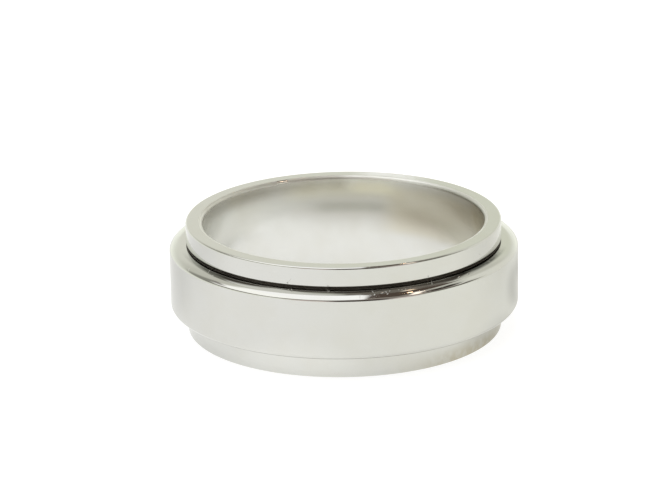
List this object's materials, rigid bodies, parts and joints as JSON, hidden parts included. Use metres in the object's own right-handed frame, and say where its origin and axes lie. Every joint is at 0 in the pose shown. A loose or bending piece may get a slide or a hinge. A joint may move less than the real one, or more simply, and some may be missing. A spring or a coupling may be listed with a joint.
{
  "type": "spinner ring",
  "caption": "Plain polished steel finger ring: a rimmed base band with a wider outer band that turns freely in its channel.",
  "frame": {"origin": "centre of the lower rim's face, which the ring rests on", "axes": "+Z along the finger, up from the surface that the ring lies on; +X to the right of the picture's view, +Y away from it"},
  "size_m": [0.025, 0.025, 0.008],
  "materials": {
    "base_steel": "mirror-polished rims, satin bore",
    "spinner_steel": "mirror-polished, with fine wear scratches"
  },
  "bodies": {
    "base": {"base_band": "base_steel"},
    "spinner": {"spinner_band": "spinner_steel"}
  },
  "joints": [
    {"name": "spin", "type": "hinge", "parent": "base", "child": "spinner", "pos_m": [0, 0, 0.00399], "axis": [0, 0, 1], "continuous": true}
  ]
}
